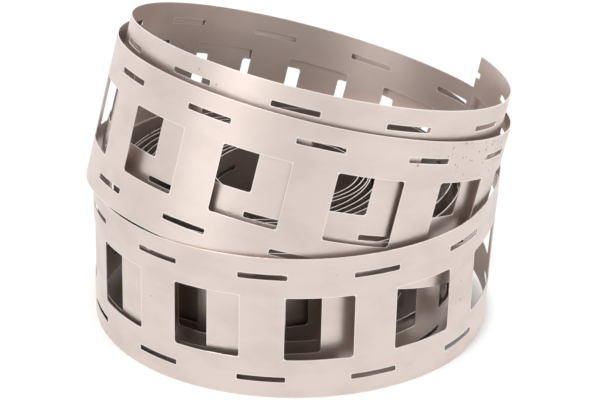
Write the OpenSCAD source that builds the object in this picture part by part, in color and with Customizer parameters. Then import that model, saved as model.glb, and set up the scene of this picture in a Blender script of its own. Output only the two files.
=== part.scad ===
// A loose coil of pierced nickel strip for joining battery cells, standing on its rim.
// The strip is one swept solid: a roll on the floor whose two outer turns are pulled up and lean over.
// A turn number of 1, 2, 3 ... is the front of that turn, counted from the strip's free end.

/* [Strip] */
// Width of the strip
strip_w = 27; // [22:0.5:32]
// Thickness of the metal
strip_t = 0.15; // [0.1:0.05:0.3]
// Length of one repeat of the pattern, cell to cell
cell_pitch = 20.1; // [18:0.1:24]
// Number of repeats in the whole length
cells = 100; // [70:1:108]

/* [Piercing] */
// Window, along the strip
window_l = 12.2; // [8:0.1:14]
// Window, across the strip
window_h = 12; // [8:0.1:14]
// Length of the slits that flank each web
slit_l = 8.5; // [4:0.1:9.5]
// Width of the slits
slit_w = 1; // [0.5:0.1:1.6]
// Distance of a slit's middle line from the strip's edge
slit_edge = 3.6; // [2:0.1:5]
// What the cut at the free end leaves of the slits
end_notch = 1.2; // [0.5:0.1:3]

/* [Roll] */
// Radius of the outermost turn that stands on the floor
roll_r = 37.2; // [34:0.1:42]
// Step in from that turn to the next one
first_step = 4.2; // [3.5:0.1:5]
// Step between the following turns
middle_step = 1.6; // [1.4:0.1:2]
// Wider step between the two groups of turns
group_step = 5.2; // [3:0.1:6]
// Step between the innermost turns
inner_step = 1.7; // [1.4:0.1:2]
// How far the inner turns stray from a true spiral
stray = 0.3; // [0:0.1:0.4]
// Shift of the inner turns to the left
nest_side = 0.8; // [0:0.1:1.2]
// Shift of the inner turns to the front
nest_front = 0.5; // [0:0.1:1]

/* [Pulled-up turns] */
// Radius of the pulled-up turns
lifted_r = 35.9; // [34:0.1:38]
// Lean to the right
lean_side = 13; // [8:0.1:15]
// Lean to the back
lean_back = 9.7; // [6:0.1:12]
// Height of the second turn along its leaning axis
lift = 17; // [14:0.1:20]
// Rise from the second turn to the first
rise = 4.6; // [3:0.1:6]
// Shift of the pulled-up turns to the left
shift_side = 6.1; // [4:0.1:7]
// Shift of the second turn to the front
shift_front = 4.1; // [3:0.1:7]
// Shift of the first turn to the back of the second
slide = 2.3; // [2:0.1:5]
// Flattening of the first turn
flatten = 0.9; // [0:0.1:2]
// Outward bow at the back of the second turn
bow = 3.4; // [0:0.1:6]
// Inward curl of the free end
curl = 1.3; // [0:0.1:4]
// Rise of the free end above its turn
end_rise = 2; // [0:0.1:4]

/* [Hidden] */
nickel = [0.80, 0.76, 0.73];

// Turn numbers at which the path changes its rule
free_end = 0.663;
bow_from = 2.2;
settle_from = 2.35;
settle_to = 2.82;
step_from = 3.12;
step_to = 3.5;
path_end = 14;
path_step = 1 / 64;

// Heights of the pattern's lines, from the lower edge to the upper edge
slit_lo = slit_edge - slit_w / 2;
slit_hi = slit_edge + slit_w / 2;
window_lo = (strip_w - window_h) / 2;
window_hi = (strip_w + window_h) / 2;
rows = [0, slit_lo, slit_hi, window_lo, window_hi, strip_w - slit_hi, strip_w - slit_lo, strip_w];

// Depth of the inner turns below the first inner one, against the turn number
middle_turns = 3.5;
middle_end = step_to + middle_turns;
depth = [
    [step_to, 0],
    [middle_end, middle_turns * middle_step],
    [middle_end + 1, middle_turns * middle_step + group_step],
    [path_end, middle_turns * middle_step + group_step + (path_end - middle_end - 1) * inner_step]
];

// 0 before turn a, 1 after turn b, with a smooth change between
function blend(n, a, b) = let (t = min(max((n - a) / (b - a), 0), 1)) t * t * (3 - 2 * t);

// 0 at turns a and b, 1 half way between them
function hump(n, a, b) = let (t = min(max((n - a) / (b - a), 0), 1)) (1 - cos(360 * t)) / 2;

// How much of the lean is left at turn n
function lifted(n) = 1 - blend(n, settle_from, settle_to);

// How much of the step to the inner turns is done at turn n
function nested(n) = blend(n, step_from, step_to);

// Radius of the turns on the floor
function roll_at(n) = roll_r - first_step * nested(n) - lookup(n, depth) + stray * sin(612 * n) * nested(n);

// How far the free end has sprung away at turn n, 1 near the cut
function sprung(n) = pow(max(0.9 - n, 0) / 0.25, 2);

// Radius of the path at turn n
function path_r(n) =
    lifted_r * lifted(n) + roll_at(n) * (1 - lifted(n))
    + flatten * cos(720 * n) * (1 - blend(n, 1.3, 1.9))
    + bow * hump(n, bow_from, settle_to)
    - curl * sprung(n);

// Turns a point by the lean that is left, first to the right and then to the back
function leaned(p, share) =
    let (
        s = lean_side * share,
        b = lean_back * share,
        x = p.x * cos(s) + p.z * sin(s),
        z = p.z * cos(s) - p.x * sin(s)
    )
    [x, p.y * cos(b) + z * sin(b), z * cos(b) - p.y * sin(b)];

// Point of the strip's middle surface at turn n and height w
function surface_at(n, w) =
    let (
        share = lifted(n),
        r = path_r(n),
        x = -r * sin(360 * n) - shift_side * share - nest_side * nested(n),
        y = -r * cos(360 * n) + (slide * min(max(2 - n, -0.2), 1) - shift_front) * share - nest_front * nested(n),
        z = (lift + rise * max(2 - n, -0.25) + end_rise * sprung(n)) * share + w
    )
    leaned([x, y, z], share);

// Unit normal of that surface, pointing out of the coil
function normal_at(n, w) =
    let (
        run = surface_at(n + 0.002, w) - surface_at(n - 0.002, w),
        up = surface_at(n, w + 0.5) - surface_at(n, w - 0.5),
        out = cross(up, run)
    )
    out / norm(out);

// Turn number against the length of strip from the free end
path = [
    for (
        n = free_end, s = 0;
        n < path_end;
        s = s + norm(surface_at(n + path_step, strip_w / 2) - surface_at(n, strip_w / 2)), n = n + path_step
    )
    [s, n]
];

// Point of the strip at length u and height w, on its outer side (1) or inner side (-1)
function strip_at(u, w, side) =
    let (n = lookup(u, path))
    surface_at(n, w) + normal_at(n, w) * side * strip_t / 2;

// One column of points at length u, at the listed rows, with the slit rows moved along by d
function column(u, d, picked, side) =
    [for (i = picked) strip_at(u + (i == 3 || i == 4 ? 0 : d), rows[i], side)];

// Rows met by the four columns of a repeat: web middle, window start, window middle, window end
web_rows = [0, 1, 2, 5, 6, 7];
side_rows = [0, 1, 2, 3, 4, 5, 6, 7];
mid_rows = [0, 3, 4, 7];

web_l = cell_pitch - window_l;
reach = (slit_l - web_l) / 2;

// Length at which the middle of web k lies, with the first web cut short
function web_at(k) = k == 0 ? 0 : k * cell_pitch - slit_l / 2 + end_notch;

// The points of one side of the strip
function side_points(side) = [
    for (k = [0 : cells])
        let (start = k * cell_pitch - slit_l / 2 + end_notch)
        each concat(
            column(web_at(k), 0, web_rows, side),
            k == cells ? [] : concat(
                column(start + web_l / 2, reach, side_rows, side),
                column(start + cell_pitch / 2, 0, mid_rows, side),
                column(start + cell_pitch - web_l / 2, -reach, side_rows, side)
            )
        )
];

// Triangles around the first point of an outline
function fan(o) = [for (i = [1 : len(o) - 2]) [o[0], o[i], o[i + 1]]];

// Directed edges along a row of points
function edges(o) = [for (i = [0 : len(o) - 2]) [o[i], o[i + 1]]];

// Places of a repeat's columns in the list of points
b0 = 0;
c0 = len(web_rows);
d0 = c0 + len(side_rows);
a0 = d0 + len(mid_rows);
repeat = a0 + len(side_rows);

// Outlines of the metal in one repeat
cell_outlines = [
    [b0, c0, c0 + 1, b0 + 1],
    [b0 + 2, c0 + 2, c0 + 3, c0 + 4, c0 + 5, b0 + 3],
    [b0 + 4, c0 + 6, c0 + 7, b0 + 5],
    [d0, d0 + 1, c0 + 3, c0 + 2, c0 + 1, c0],
    [d0 + 3, c0 + 7, c0 + 6, c0 + 5, c0 + 4, d0 + 2],
    [d0, a0, a0 + 1, a0 + 2, a0 + 3, d0 + 1],
    [d0 + 3, d0 + 2, a0 + 4, a0 + 5, a0 + 6, a0 + 7],
    [a0, repeat, repeat + 1, a0 + 1],
    [repeat + 2, repeat + 3, a0 + 5, a0 + 4, a0 + 3, a0 + 2],
    [a0 + 6, repeat + 4, repeat + 5, a0 + 7]
];

// Edges of the metal in one repeat: both rims, the slits and the window
cell_edges = concat(
    edges([b0, c0, d0, a0, repeat]),
    edges([repeat + 5, a0 + 7, d0 + 3, c0 + 7, b0 + 5]),
    edges([b0 + 2, c0 + 2, c0 + 1, b0 + 1]),
    edges([repeat + 1, a0 + 1, a0 + 2, repeat + 2]),
    edges([b0 + 4, c0 + 6, c0 + 5, b0 + 3]),
    edges([repeat + 3, a0 + 5, a0 + 6, repeat + 4]),
    edges([a0 + 3, d0 + 1, c0 + 3, c0 + 4, d0 + 2, a0 + 4, a0 + 3])
);

// Edges of the cuts at the free end and at the inner end
last = cells * repeat;
end_edges = [
    [1, 0], [3, 2], [5, 4],
    [last, last + 1], [last + 2, last + 3], [last + 4, last + 5]
];

module nickel_strip() {
    outer = side_points(1);
    inner = side_points(-1);
    turn_over = len(outer);
    shift = [1, 1, 1] * repeat;
    skin = [for (k = [0 : cells - 1]) for (o = cell_outlines) each [for (f = fan(o)) f + k * shift]];
    rim = concat(
        [for (k = [0 : cells - 1]) for (e = cell_edges) [e[0] + k * repeat, e[1] + k * repeat]],
        end_edges
    );
    lining = [for (f = skin) [f[2] + turn_over, f[1] + turn_over, f[0] + turn_over]];
    walls = [
        for (e = rim)
            each [
                [e[1], e[0], e[0] + turn_over],
                [e[1], e[0] + turn_over, e[1] + turn_over]
            ]
    ];
    middle = [for (i = [0, 1]) -(min([for (p = outer) p[i]]) + max([for (p = outer) p[i]])) / 2];
    color(nickel)
        translate(middle)
            polyhedron(points = concat(outer, inner), faces = concat(skin, lining, walls), convexity = 30);
}

nickel_strip();
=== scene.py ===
"""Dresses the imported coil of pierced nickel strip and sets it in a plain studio.

The strip is modelled flat, one repeat at a time, then joined, thickened and wound along the
coil's path. Lengths in the dataclasses are millimetres, and meshes are in metres.
"""

from __future__ import annotations

import logging
import math
from dataclasses import dataclass, field
from enum import Enum
from typing import Any

import bmesh
import bpy
import numpy as np
from mathutils import Matrix, Vector

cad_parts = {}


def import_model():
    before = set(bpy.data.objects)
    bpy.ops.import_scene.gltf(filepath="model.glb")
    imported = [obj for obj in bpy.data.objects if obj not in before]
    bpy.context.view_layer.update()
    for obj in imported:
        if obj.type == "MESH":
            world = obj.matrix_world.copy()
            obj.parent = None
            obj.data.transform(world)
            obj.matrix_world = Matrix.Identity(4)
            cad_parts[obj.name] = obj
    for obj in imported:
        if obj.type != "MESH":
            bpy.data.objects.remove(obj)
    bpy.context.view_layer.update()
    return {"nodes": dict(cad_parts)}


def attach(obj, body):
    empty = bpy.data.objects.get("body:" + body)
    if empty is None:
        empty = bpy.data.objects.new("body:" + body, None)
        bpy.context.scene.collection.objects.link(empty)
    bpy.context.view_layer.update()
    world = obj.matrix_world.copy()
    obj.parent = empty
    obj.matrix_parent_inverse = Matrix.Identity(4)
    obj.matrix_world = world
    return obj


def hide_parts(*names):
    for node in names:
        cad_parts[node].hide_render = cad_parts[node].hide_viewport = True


LOG = logging.getLogger("nickel_strip")
MM = 0.001

# Places of a Mix node's colour sockets: factor, first and second colour, and the result
MIX_INPUTS = (0, 6, 7)
MIX_RESULT = 2

# A grid of this size is a square one unit across, and a bevel of this profile is round
UNIT_SQUARE = 0.5
ROUND_PROFILE = 0.5

# How close to a cut or to each other points count as one, in millimetres
CUT_DISTANCE = 1e-5
JOIN_DISTANCE = 1e-3

Array = np.ndarray
Triple = tuple[float, float, float]
Colour = tuple[float, float, float, float]


@dataclass(frozen=True)
class Piercing:
    """Sizes of the strip and of the pattern punched into it."""

    strip_w: float = 27.0
    strip_t: float = 0.15
    cell_pitch: float = 20.1
    cells: int = 96
    window_l: float = 12.2
    window_h: float = 12.0
    window_round: float = 0.5
    slit_l: float = 8.5
    slit_w: float = 1.0
    slit_round: float = 0.22
    slit_edge: float = 3.6
    end_notch: float = 1.2

    @property
    def start(self) -> float:
        """Length between a web's middle and the cut at the free end."""
        return self.slit_l / 2 - self.end_notch

    @property
    def length(self) -> float:
        """Whole length of the strip, from cut to cut."""
        return self.cells * self.cell_pitch - self.start


@dataclass(frozen=True)
class CoilPath:
    """The route of the strip: two leaning turns that settle into a roll on the floor.

    A turn number of 1, 2, 3 ... is the front of that turn, counted from the free end. A value
    named part, and settle and nest, give the turns between which the path changes smoothly.
    """

    # The turns on the floor: the outermost one's radius, and the steps in from turn to turn
    roll_r: float = 37.25
    first_step: float = 3.05
    second_step: float = 4.4
    third_step: float = 4.35
    middle_step: float = 1.4
    group_step: float = 5.8
    inner_step: float = 1.1
    # Shifts and flattening of the inner turns, and side shifts of the deep ones and of the core
    nest_side: float = 2.95
    nest_front: float = 1.05
    nest_flat: float = 1.7
    deep_side: float = 3.95
    core_side: float = 1.0
    # The leaning turns: radius, lean in degrees, height, and shifts from turn to turn
    lifted_r: float = 35.9
    lean_side: float = 12.45
    lean_back: float = 9.7
    lift: float = 16.3
    rise: float = 5.0
    shift_side: float = 4.4
    shift_front: float = 3.95
    slide: float = 1.65
    side_slide: float = 1.25
    # Their oval, the bow behind the second one and the rise of the free end
    flatten: float = 0.9
    flat_turn: float = 43.0
    bow: float = 2.85
    bow_rise: float = 1.9
    end_rise: float = 0.8
    # Turn numbers at which the path changes its rule
    free_end: float = 0.674
    spring_to: float = 1.0
    spring_length: float = 0.25
    oval_part: tuple[float, float] = (1.3, 1.9)
    bow_part: tuple[float, float] = (1.9, 2.97)
    settle: tuple[float, float] = (2.525, 2.865)
    nest: tuple[float, float] = (3.24, 3.78)
    # Limits, in turns, of what changes with the distance from the level turn
    slide_limits: tuple[float, float] = (-0.2, 1.0)
    rise_limit: float = -0.25
    # Parts of a turn in which the steps in are made
    first_part: tuple[float, float] = (0.05, 0.53)
    second_part: tuple[float, float] = (0.6, 1.0)
    third_part: tuple[float, float] = (0.54, 0.9)
    later_part: tuple[float, float] = (0.45, 0.95)
    # Whole turns at which the parts of the path start
    level_turn: int = 2
    floor_turn: int = 3
    deep_turn: int = 5
    core_turn: int = 9
    path_end: int = 16
    # Steps for measuring the path and for its normals
    path_step: float = 1 / 512
    probe_turn: float = 0.002
    probe_height: float = 0.5

    @staticmethod
    def blend(n: Array, a: float, b: float) -> Array:
        """Gives 0 before turn a and 1 after turn b, with a smooth change between."""
        t = np.clip((n - a) / (b - a), 0, 1)
        return t * t * (3 - 2 * t)

    def lifted(self, n: Array) -> Array:
        """Says how much of the lean is left at turn n."""
        return 1 - self.blend(n, *self.settle)

    def sprung(self, n: Array) -> Array:
        """Says how far the free end has sprung away at turn n."""
        return (np.maximum(self.spring_to - n, 0) / self.spring_length) ** 2

    def bowed(self, n: Array) -> Array:
        """Says how far the back of the second turn has bowed out at turn n."""
        first, last = self.bow_part
        t = np.clip((n - first) / (last - first), 0, 1)
        return (1 - np.cos(2 * np.pi * t)) / 2

    def cored(self, n: Array) -> Array:
        """Says how much of the step to the innermost group is done at turn n."""
        return self.blend(n - self.core_turn, *self.later_part)

    def aside(self, n: Array) -> Array:
        """Gives the shift to the left of the inner turns and of the innermost group."""
        deep = self.blend(n - self.deep_turn, *self.third_part)
        shift = self.nest_side * self.blend(n, *self.nest) + self.deep_side * deep
        return shift * (1 - self.cored(n)) + self.core_side * self.cored(n)

    def roll_at(self, n: Array) -> Array:
        """Gives the radius of the turns that stand on the floor."""
        middle = [self.middle_step] * (self.core_turn - self.deep_turn - 1)
        inner = [self.inner_step] * (self.path_end - self.core_turn - 1)
        later = [*middle, self.group_step, *inner]
        steps = [self.first_step, self.second_step, self.third_step, *later]
        parts = [self.first_part, self.second_part, self.third_part]
        parts += [self.later_part] * len(later)
        done = [
            size * self.blend(n - turn, *part)
            for turn, (size, part) in enumerate(zip(steps, parts), self.floor_turn)
        ]
        pressed = self.nest_flat * np.maximum(np.sin(2 * np.pi * n), 0) ** 2
        pressed = pressed * self.blend(n, *self.nest) * (1 - self.cored(n))
        return self.roll_r - pressed - np.sum(done, axis=0)

    def radius(self, n: Array) -> Array:
        """Gives the radius of the path at turn n."""
        share = self.lifted(n)
        wave = np.cos(np.radians(2 * 360 * n + self.flat_turn))
        oval = self.flatten * wave * (1 - self.blend(n, *self.oval_part))
        rolled = self.lifted_r * share + self.roll_at(n) * (1 - share)
        return rolled + oval + self.bow * self.bowed(n)

    def surface(self, n: Array, w: Array) -> Array:
        """Places points of the strip's middle surface.

        Args:
            n: Turn number of each point.
            w: Height of each point above the strip's lower edge.

        Returns:
            The points, one row each.
        """
        share, r = self.lifted(n), self.radius(n)
        before = np.clip(self.level_turn - n, *self.slide_limits)
        x = -r * np.sin(2 * np.pi * n) - (self.side_slide * before + self.shift_side) * share
        x = x - self.aside(n)
        y = -r * np.cos(2 * np.pi * n) + (self.slide * before - self.shift_front) * share
        y = y - self.nest_front * self.blend(n, *self.nest)
        raised = self.bow_rise * self.bowed(n) + self.end_rise * self.sprung(n)
        climb = self.rise * np.maximum(self.level_turn - n, self.rise_limit)
        z = (self.lift + climb + raised) * share + w
        side, back = np.radians(self.lean_side) * share, np.radians(self.lean_back) * share
        leaned_x = x * np.cos(side) + z * np.sin(side)
        leaned_z = z * np.cos(side) - x * np.sin(side)
        return np.stack(
            [
                leaned_x,
                y * np.cos(back) + leaned_z * np.sin(back),
                leaned_z * np.cos(back) - y * np.sin(back),
            ],
            axis=-1,
        )

    def normal(self, n: Array, w: Array) -> Array:
        """Gives the surface's unit normals, pointing out of the coil."""
        run = self.surface(n + self.probe_turn, w) - self.surface(n - self.probe_turn, w)
        up = self.surface(n, w + self.probe_height) - self.surface(n, w - self.probe_height)
        out = np.cross(up, run)
        return out / np.linalg.norm(out, axis=-1, keepdims=True)

    def turns_at(self, u: Array, w: float) -> Array:
        """Gives the turn number at each length u, measured along height w."""
        n = np.arange(self.free_end, self.path_end, self.path_step)
        steps = np.linalg.norm(np.diff(self.surface(n, np.full_like(n, w)), axis=0), axis=1)
        return np.interp(u, np.concatenate([[0], np.cumsum(steps)]), n)


class Sock:
    """A shader socket that takes part in Python expressions."""

    def __init__(self, sheet: NodeSheet, socket: bpy.types.NodeSocket) -> None:
        """Keeps the socket and the sheet that it belongs to."""
        self.sheet = sheet
        self.socket = socket

    def math(self, operation: str, *values: Any) -> Sock:
        """Adds a Math node that starts with this socket, and gives its result."""
        inputs = dict(enumerate((self, *values)))
        return self.sheet.add("ShaderNodeMath", {"operation": operation}, inputs)

    def __add__(self, other: Any) -> Sock:
        """Adds."""
        return self.math("ADD", other)

    __radd__ = __add__

    def __sub__(self, other: Any) -> Sock:
        """Subtracts."""
        return self.math("SUBTRACT", other)

    def __rsub__(self, other: Any) -> Sock:
        """Subtracts from a number."""
        return self * -1.0 + other

    def __mul__(self, other: Any) -> Sock:
        """Multiplies."""
        return self.math("MULTIPLY", other)

    __rmul__ = __mul__

    def ramp(self, low: float, high: float) -> Sock:
        """Turns the range from low to high into a smooth change from 0 to 1."""
        return self.sheet.add(
            "ShaderNodeMapRange",
            {"interpolation_type": "SMOOTHSTEP"},
            {"Value": self, "From Min": low, "From Max": high},
        )


class NodeSheet:
    """The node tree of one material or world."""

    def __init__(self, owner: bpy.types.Material | bpy.types.World) -> None:
        """Clears the owner's node tree and keeps it."""
        owner.use_nodes = True
        self.tree = owner.node_tree
        self.tree.nodes.clear()

    def add(
        self,
        kind: str,
        settings: dict[str, Any],
        inputs: dict[Any, Any],
        output: Any = 0,
    ) -> Sock:
        """Adds one node.

        Args:
            kind: The node's type name.
            settings: Properties that are set before its sockets.
            inputs: Values or sockets for its inputs, by name or number.
            output: Name or number of the output that is given back.

        Returns:
            The chosen output.
        """
        node = self.tree.nodes.new(kind)
        for name, value in settings.items():
            setattr(node, name, value)
        for name, value in inputs.items():
            if isinstance(value, Sock):
                self.tree.links.new(value.socket, node.inputs[name])
            else:
                node.inputs[name].default_value = value
        return Sock(self, node.outputs[output] if node.outputs else None)

    def mix(self, factor: Any, a: Any, b: Any) -> Sock:
        """Mixes two colours, from a at factor 0 to b at factor 1."""
        inputs = dict(zip(MIX_INPUTS, (factor, a, b)))
        return self.add("ShaderNodeMix", {"data_type": "RGBA"}, inputs, MIX_RESULT)

    def split(self, vector: Sock) -> tuple[Sock, Sock, Sock]:
        """Splits a vector into its three parts."""
        node = self.tree.nodes.new("ShaderNodeSeparateXYZ")
        self.tree.links.new(vector.socket, node.inputs[0])
        x, y, z = (Sock(self, output) for output in node.outputs)
        return x, y, z

    def finish(self, kind: str, shader: Sock) -> None:
        """Links a shader to the tree's output node."""
        self.add(kind, {}, {"Surface": shader})


@dataclass(frozen=True)
class Grain:
    """A noise on the strip: its waves in a millimetre along and across, and its detail."""

    scale: Triple
    detail: float


@dataclass(frozen=True)
class Specks:
    """Small round spots or pits, one at most in each cell of a net.

    Attributes:
        scale: Cells in a millimetre.
        chance_from: Share of the cells that have no spot.
        size: Radius of the largest spot, as a share of a cell.
        soft: Width of a spot's blurred edge, as a share of a cell.
    """

    scale: float
    chance_from: float
    size: float
    soft: float = 0.03


@dataclass(frozen=True)
class NickelFinish:
    """Satin rolled nickel, warm grey, with fine lines along the strip, and sheared edges lightened
    in colour: a painted highlight, partly burnished metal.

    A tint says how far a feature changes the colour, and a value named rough how far it changes
    the roughness.
    """

    uv_name: str = "strip"
    pale: Colour = (0.745, 0.645, 0.598, 1.0)
    dull: Colour = (0.640, 0.548, 0.502, 1.0)
    speck: Colour = (0.30, 0.24, 0.20, 1.0)
    # Painted highlight: the lighter colour given to the sheared edges, partly real burnished metal
    painted_edge_highlight: Colour = (0.96, 0.92, 0.89, 1.0)
    line_grain: Grain = Grain((0.06, 9.0, 1.0), 3.0)
    line_mean: float = 0.5
    line_tint: float = 0.35
    line_rough: float = 0.10
    cloud_grain: Grain = Grain((0.10, 0.18, 1.0), 4.0)
    patch_part: tuple[float, float] = (0.40, 0.66)
    patch_tint: float = 0.5
    patch_rough: float = 0.05
    spots: Specks = Specks(0.26, 0.78, 0.11)
    spot_tint: float = 0.55
    spot_rough: float = 0.15
    spot_depth: float = 0.8
    roughness: float = 0.36
    bump_strength: float = 0.15
    bump_height: float = 0.02
    # Width and sharp core of the painted edge highlight, in millimetres, and how far it lightens
    # the colour
    edge_band: float = 0.22
    edge_core: float = 0.3
    edge_highlight_tint: float = 0.5
    dirt: Specks = Specks(1.3, 0.0, 0.32)
    dirt_start: tuple[float, float] = (244.0, 258.0)
    dirt_stop: tuple[float, float] = (266.0, 282.0)
    dirt_height: tuple[float, float] = (18.5, 24.0)

    def material(self, piercing: Piercing) -> bpy.types.Material:
        """Builds the material.

        Args:
            piercing: Sizes of the pattern along whose sheared edges the highlight is painted.

        Returns:
            The finished material.
        """
        material = bpy.data.materials.new("satin_nickel")
        sheet = NodeSheet(material)
        place = sheet.add("ShaderNodeUVMap", {"uv_map": self.uv_name}, {}, "UV")
        lines = self._noise(sheet, place, self.line_grain)
        patches = self._noise(sheet, place, self.cloud_grain).ramp(*self.patch_part)
        spots = self._spotted(sheet, place, self.spots)
        dirt = self._spotted(sheet, place, self.dirt) * self._dirty_part(sheet, place)
        edge = self._edge_distance(sheet, place, piercing)
        # Painted highlight: the colour is lightened near every sheared edge, partly real burnished
        # metal
        painted_highlight = 1.0 - edge.ramp(self.edge_core * self.edge_band, self.edge_band)
        colour = sheet.mix(patches * self.patch_tint + lines * self.line_tint, self.pale, self.dull)
        colour = sheet.mix((spots * self.spot_tint).math("MAXIMUM", dirt), colour, self.speck)
        colour = sheet.mix(painted_highlight * self.edge_highlight_tint, colour, self.painted_edge_highlight)
        rough = self.roughness + patches * self.patch_rough
        rough = rough + (lines - self.line_mean) * self.line_rough + spots * self.spot_rough
        bump = sheet.add(
            "ShaderNodeBump",
            {},
            {
                "Strength": self.bump_strength,
                "Distance": self.bump_height * MM,
                "Height": lines - spots * self.spot_depth,
            },
            "Normal",
        )
        shader = sheet.add(
            "ShaderNodeBsdfPrincipled",
            {},
            {"Base Color": colour, "Metallic": 1.0, "Roughness": rough, "Normal": bump},
        )
        sheet.finish("ShaderNodeOutputMaterial", shader)
        return material

    @staticmethod
    def _stretch(sheet: NodeSheet, place: Sock, scale: Triple) -> Sock:
        """Scales the place on the strip along and across it."""
        inputs = {0: place, 1: scale}
        return sheet.add("ShaderNodeVectorMath", {"operation": "MULTIPLY"}, inputs, "Vector")

    def _noise(self, sheet: NodeSheet, place: Sock, grain: Grain) -> Sock:
        """Adds a noise whose grain is stretched along the strip."""
        vector = self._stretch(sheet, place, grain.scale)
        inputs = {"Vector": vector, "Scale": 1.0, "Detail": grain.detail}
        return sheet.add("ShaderNodeTexNoise", {}, inputs, "Fac")

    def _spotted(self, sheet: NodeSheet, place: Sock, specks: Specks) -> Sock:
        """Adds small round spots and pits.

        Args:
            sheet: The material's nodes.
            place: Place on the strip, in millimetres.
            specks: Number and size of the spots.

        Returns:
            1 on a spot and 0 beside it.
        """
        vector = self._stretch(sheet, place, (specks.scale, specks.scale, 1.0))
        cells = sheet.tree.nodes.new("ShaderNodeTexVoronoi")
        sheet.tree.links.new(vector.socket, cells.inputs["Vector"])
        cells.inputs["Scale"].default_value = 1.0
        chance = sheet.add("ShaderNodeSeparateColor", {}, {0: Sock(sheet, cells.outputs["Color"])})
        radius = chance.ramp(specks.chance_from, 1.0) * specks.size
        return (radius - Sock(sheet, cells.outputs["Distance"])).ramp(0.0, specks.soft)

    def _dirty_part(self, sheet: NodeSheet, place: Sock) -> Sock:
        """Marks the stretch of the upper edge where fine dirt has gathered."""
        u, w, _ = sheet.split(place)
        along = u.ramp(*self.dirt_start) * (1.0 - u.ramp(*self.dirt_stop))
        return along * w.ramp(*self.dirt_height)

    @staticmethod
    def _edge_distance(sheet: NodeSheet, place: Sock, p: Piercing) -> Sock:
        """Gives the distance from the nearest sheared edge, in millimetres."""
        u, w, _ = sheet.split(place)
        in_cell = (u + (p.start + p.cell_pitch / 2)).math("MODULO", p.cell_pitch)
        along = (in_cell - p.cell_pitch / 2).math("ABSOLUTE")
        across = (w - p.strip_w / 2).math("ABSOLUTE")
        web = (p.cell_pitch - p.window_l) / 2
        window = (web - along).math("MAXIMUM", across - p.window_h / 2)
        row = (across - (p.strip_w / 2 - p.slit_edge)).math("ABSOLUTE") - p.slit_w / 2
        slit = (along - p.slit_l / 2).math("MAXIMUM", row)
        return window.math("MINIMUM", slit).math("MINIMUM", p.strip_w / 2 - across)


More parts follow.
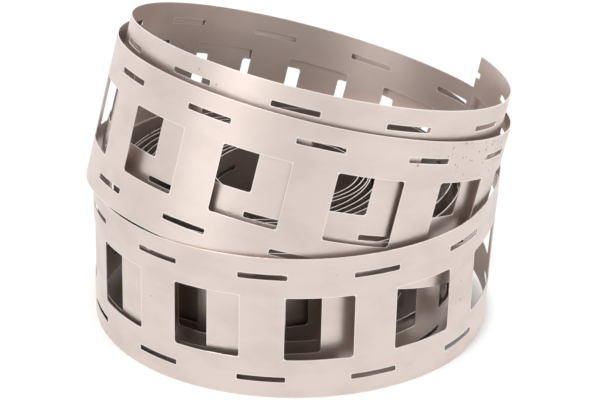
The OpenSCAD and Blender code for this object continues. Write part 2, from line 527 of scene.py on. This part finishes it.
@dataclass
class PiercedStrip:
    """The strip itself: pierced flat, then wound along its path."""

    piercing: Piercing = field(default_factory=Piercing)
    path: CoilPath = field(default_factory=CoilPath)
    finish: NickelFinish = field(default_factory=NickelFinish)
    segment: float = 1.0
    corner_steps: int = 4
    sharp_angle: float = 40.0

    @staticmethod
    def _loop(
        bm: bmesh.types.BMesh,
        middle: tuple[float, float],
        size: tuple[float, float],
        rounding: float,
        steps: int,
    ) -> None:
        """Draws the outline of one hole or of the sheet.

        Args:
            bm: The mesh to draw in.
            middle: Place of the outline's middle, along and across the strip.
            size: Its length and height.
            rounding: Radius of its corners, or 0.
            steps: Segments in each rounded corner.
        """
        matrix = Matrix.Translation((*middle, 0)) @ Matrix.Diagonal((size[0], size[1], 1, 1))
        square = {"x_segments": 1, "y_segments": 1, "size": UNIT_SQUARE}
        made = bmesh.ops.create_grid(bm, **square, matrix=matrix)
        if rounding:
            bmesh.ops.bevel(
                bm,
                geom=made["verts"],
                offset=rounding,
                segments=steps,
                profile=ROUND_PROFILE,
                material=-1,
                affect="VERTICES",
            )

    def _flat_cell(self, bm: bmesh.types.BMesh) -> None:
        """Models one repeat of the flat pattern, from web middle to web middle."""
        p = self.piercing
        middle = (p.cell_pitch / 2, p.strip_w / 2)
        slit_rows = (p.slit_edge, p.strip_w - p.slit_edge)
        self._loop(bm, middle, (p.cell_pitch + 2 * p.slit_l, p.strip_w), 0, 0)
        self._loop(bm, middle, (p.window_l, p.window_h), p.window_round, self.corner_steps)
        for u in (0, p.cell_pitch):
            for w in slit_rows:
                self._loop(bm, (u, w), (p.slit_l, p.slit_w), p.slit_round, self.corner_steps - 1)
        bmesh.ops.delete(bm, geom=bm.faces[:], context="FACES_ONLY")
        bmesh.ops.triangle_fill(bm, edges=bm.edges[:], use_beauty=True, normal=(0, 0, 1))
        count = round(p.cell_pitch / self.segment)
        for step in range(count + 1):
            self._cut(bm, step * p.cell_pitch / count, step == 0, step == count)

    @staticmethod
    def _cut(bm: bmesh.types.BMesh, u: float, drop_before: bool, drop_after: bool) -> None:
        """Cuts the flat mesh across at length u, and drops what lies before or after the cut."""
        bmesh.ops.bisect_plane(
            bm,
            geom=bm.verts[:] + bm.edges[:] + bm.faces[:],
            dist=CUT_DISTANCE,
            plane_co=(u, 0, 0),
            plane_no=(1, 0, 0),
            clear_inner=drop_before,
            clear_outer=drop_after,
        )

    def _repeat(self, bm: bmesh.types.BMesh) -> None:
        """Copies the first repeat along the strip, joins the copies and cuts the free end."""
        p = self.piercing
        cell = bm.verts[:] + bm.edges[:] + bm.faces[:]
        for k in range(1, p.cells):
            copied = bmesh.ops.duplicate(bm, geom=cell)["geom"]
            verts = [e for e in copied if isinstance(e, bmesh.types.BMVert)]
            bmesh.ops.translate(bm, verts=verts, vec=(k * p.cell_pitch, 0, 0))
        bmesh.ops.remove_doubles(bm, verts=bm.verts[:], dist=JOIN_DISTANCE)
        self._cut(bm, p.start, True, False)
        bmesh.ops.translate(bm, verts=bm.verts[:], vec=(-p.start, 0, 0))

    def _thicken(self, bm: bmesh.types.BMesh) -> None:
        """Gives the flat sheet its thickness, half on each side of the path."""
        t = self.piercing.strip_t
        bmesh.ops.translate(bm, verts=bm.verts[:], vec=(0, 0, -t / 2))
        raised = bmesh.ops.extrude_face_region(bm, geom=bm.faces[:], use_keep_orig=True)["geom"]
        verts = [e for e in raised if isinstance(e, bmesh.types.BMVert)]
        bmesh.ops.translate(bm, verts=verts, vec=(0, 0, t))
        bmesh.ops.recalc_face_normals(bm, faces=bm.faces[:])

    def _lay_uv(self, bm: bmesh.types.BMesh) -> None:
        """Keeps each point's place on the flat strip, in millimetres, as the strip's UV map."""
        layer = bm.loops.layers.uv.new(self.finish.uv_name)
        for face in bm.faces:
            for loop in face.loops:
                loop[layer].uv = loop.vert.co.xy

    def _wind(self, bm: bmesh.types.BMesh) -> None:
        """Winds the flat strip along the coil's path."""
        flat = np.array([v.co[:] for v in bm.verts])
        n = self.path.turns_at(flat[:, 0], self.piercing.strip_w / 2)
        w, out = flat[:, 1], flat[:, 2:]
        placed = self.path.surface(n, w) + self.path.normal(n, w) * out
        middle = (placed[:, :2].min(axis=0) + placed[:, :2].max(axis=0)) / 2
        placed[:, :2] -= middle
        for vert, place in zip(bm.verts, placed * MM):
            vert.co = place
        bmesh.ops.reverse_faces(bm, faces=bm.faces[:])

    def build(self) -> bpy.types.Object:
        """Models the strip and dresses it.

        Returns:
            The strip's object.
        """
        bm = bmesh.new()
        self._flat_cell(bm)
        self._repeat(bm)
        self._thicken(bm)
        self._lay_uv(bm)
        self._wind(bm)
        sharp = math.radians(self.sharp_angle)
        for face in bm.faces:
            face.smooth = True
        for edge in bm.edges:
            edge.smooth = edge.calc_face_angle(0.0) < sharp
        mesh = bpy.data.meshes.new("wound_strip")
        bm.to_mesh(mesh)
        bm.free()
        mesh.materials.append(self.finish.material(self.piercing))
        strip = bpy.data.objects.new("wound_strip", mesh)
        bpy.context.collection.objects.link(strip)
        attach(strip, "root")
        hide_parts("nickel_strip")
        return strip


@dataclass(frozen=True)
class Lamp:
    """One soft rectangular lamp, aimed at the coil."""

    name: str
    place: Triple
    width: float
    height: float
    power: float

    def build(self, aim: Vector) -> bpy.types.Object:
        """Adds the lamp to the scene.

        Args:
            aim: The point that it faces.

        Returns:
            The lamp's object.
        """
        data = bpy.data.lights.new(self.name, "AREA")
        data.shape = "RECTANGLE"
        data.size = self.width * MM
        data.size_y = self.height * MM
        data.energy = self.power
        lamp = bpy.data.objects.new(self.name, data)
        lamp.location = Vector(self.place) * MM
        lamp.rotation_euler = (aim - lamp.location).to_track_quat("-Z", "Y").to_euler()
        bpy.context.collection.objects.link(lamp)
        return lamp


class Backdrop(Enum):
    """Colours of what surrounds the coil."""

    WHITE = (1.0, 1.0, 1.0, 1.0)
    FLOOR = (0.94, 0.94, 0.94, 1.0)
    # Painted shade: the floor's colour under the coil
    SHADE = (0.42, 0.40, 0.38, 1.0)


@dataclass
class Studio:
    """Floor, light and camera.

    Attributes:
        sky_low: Strength of the surroundings at the horizon.
        sky_high: Their strength overhead.
        sky_back: What is added behind the coil.
        sky_height: Upward part of a direction over which the strength changes.
        sky_depth: Backward part of a direction over which the back light comes in.
        floor_glow: Share of its own light in what is seen of the floor.
        glow_strength: Strength of that light.
        stand: Middle of the turns on the floor.
        shade_part: Distances from it between which the floor's colour changes from painted shade to
            pale.
        glow_part: Distances from it between which the floor's own light comes in.
    """

    floor_size: float = 4000.0
    sky_low: float = 0.78
    sky_high: float = 0.25
    sky_back: float = 0.6
    sky_height: tuple[float, float] = (0.25, 0.95)
    sky_depth: tuple[float, float] = (-0.1, 0.6)
    floor_glow: float = 0.93
    glow_strength: float = 1.06
    stand: Triple = (-1.2, -2.0, 0.0)
    shade_part: tuple[float, float] = (32.0, 36.0)
    glow_part: tuple[float, float] = (36.0, 40.0)
    elevation: float = 25.22
    roll: float = 1.35
    distance: float = 374.8
    aim: Triple = (0.64, -2.02, 20.47)
    focal_px: float = 2016.6
    image_px: int = 600
    sensor_mm: float = 36.0
    lamps: tuple[Lamp, ...] = (
        Lamp("key", (-330, -380, 430), 300, 300, 2.3),
        Lamp("streak", (-446, -402, 120), 300, 300, 0.15),
        Lamp("fill", (420, -300, 260), 300, 300, 0.85),
    )

    def floor(self) -> bpy.types.Object:
        """Lays the pale floor, with painted shade under the coil."""
        bm = bmesh.new()
        bmesh.ops.create_grid(bm, x_segments=1, y_segments=1, size=self.floor_size * MM / 2)
        mesh = bpy.data.meshes.new("floor")
        bm.to_mesh(mesh)
        bm.free()
        material = bpy.data.materials.new("pale_floor")
        sheet = NodeSheet(material)
        kinds = ("Is Camera Ray", "Is Glossy Ray", "Is Transmission Ray")
        camera, glossy, passing = (sheet.add("ShaderNodeLightPath", {}, {}, kind) for kind in kinds)
        seen = camera.math("MAXIMUM", glossy).math("MAXIMUM", passing)
        place = sheet.add("ShaderNodeTexCoord", {}, {}, "Object")
        middle = Vector(self.stand) * MM
        ends = {0: place, 1: middle}
        reach = sheet.add("ShaderNodeVectorMath", {"operation": "DISTANCE"}, ends, "Value")
        # Painted shade: the floor's colour darkens to SHADE under the coil, within shade_part
        pale = reach.ramp(*(r * MM for r in self.shade_part))
        outside = reach.ramp(*(r * MM for r in self.glow_part))
        colour = sheet.mix(pale, Backdrop.SHADE.value, Backdrop.FLOOR.value)
        paint = sheet.add("ShaderNodeBsdfDiffuse", {}, {"Color": colour})
        light = {"Color": Backdrop.WHITE.value, "Strength": self.glow_strength}
        glow = sheet.add("ShaderNodeEmission", {}, light)
        share = seen * outside * self.floor_glow
        shader = sheet.add("ShaderNodeMixShader", {}, {0: share, 1: paint, 2: glow})
        sheet.finish("ShaderNodeOutputMaterial", shader)
        mesh.materials.append(material)
        floor = bpy.data.objects.new("floor", mesh)
        bpy.context.collection.objects.link(floor)
        return floor

    def world(self) -> bpy.types.World:
        """Makes the white surroundings, brightest behind the coil and dimmest above it."""
        world = bpy.data.worlds.new("studio")
        sheet = NodeSheet(world)
        _, depth, height = sheet.split(sheet.add("ShaderNodeTexCoord", {}, {}, "Generated"))
        strength = height.ramp(*self.sky_height) * (self.sky_high - self.sky_low) + self.sky_low
        strength = strength + depth.ramp(*self.sky_depth) * self.sky_back
        light = {"Color": Backdrop.WHITE.value, "Strength": strength}
        sky = sheet.add("ShaderNodeBackground", {}, light)
        sheet.finish("ShaderNodeOutputWorld", sky)
        bpy.context.scene.world = world
        return world

    def camera(self) -> bpy.types.Object:
        """Sets the camera at the photograph's angle."""
        tilt = math.radians(self.elevation)
        ahead = Vector((0, math.cos(tilt), -math.sin(tilt)))
        spin = Matrix.Rotation(-math.radians(self.roll), 3, ahead)
        right = spin @ Vector((1, 0, 0))
        up = right.cross(ahead)
        data = bpy.data.cameras.new("camera")
        data.sensor_width = self.sensor_mm
        data.lens = self.focal_px / self.image_px * self.sensor_mm
        camera = bpy.data.objects.new("camera", data)
        place = (Vector(self.aim) - ahead * self.distance) * MM
        turn = Matrix((right, up, -ahead)).transposed().to_4x4()
        camera.matrix_world = Matrix.Translation(place) @ turn
        bpy.context.collection.objects.link(camera)
        bpy.context.scene.camera = camera
        return camera

    def build(self) -> None:
        """Builds the floor, the surroundings, the lamps and the camera."""
        self.floor()
        self.world()
        for lamp in self.lamps:
            lamp.build(Vector(self.aim) * MM)
        self.camera()
        bpy.context.scene.view_settings.view_transform = "Standard"


def main() -> None:
    """Builds the strip and the studio."""
    logging.basicConfig(level=logging.INFO, format="%(name)s: %(message)s")
    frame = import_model()
    strip = PiercedStrip().build()
    LOG.info("frame: %s", ", ".join(frame["nodes"]))
    LOG.info("%s: %d faces", strip.name, len(strip.data.polygons))
    Studio().build()
    LOG.info("studio set")


if __name__ == "__main__":
    main()
